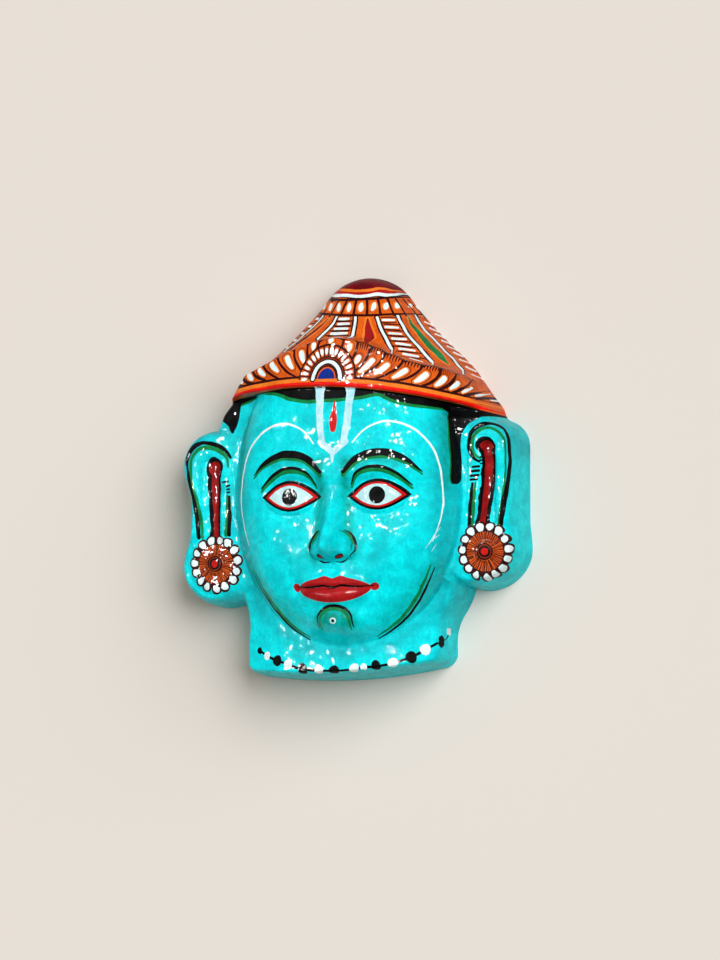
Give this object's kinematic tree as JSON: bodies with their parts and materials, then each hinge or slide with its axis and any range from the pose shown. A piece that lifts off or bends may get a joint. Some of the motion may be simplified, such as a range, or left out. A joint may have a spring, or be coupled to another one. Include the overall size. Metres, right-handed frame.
{
  "type": "papier-mache mask",
  "caption": "Hollow moulded wall mask: a calm painted face with long ears and ear ornaments, under a pointed hat with a raised brim band, on a short neck.",
  "frame": {"origin": "under the middle of the mask, on the plane of its rim, as it lies on its back", "axes": "+Z out of the face, +Y to the tip of the hat, +X to the right for someone who looks at the face"},
  "size_m": [0.2266, 0.253, 0.0844],
  "materials": {
    "painted_papier_mache": "hand-painted turquoise, orange, red, black and white, under a gloss varnish"
  },
  "bodies": {
    "root": {"mask": "painted_papier_mache"}
  },
  "joints": []
}
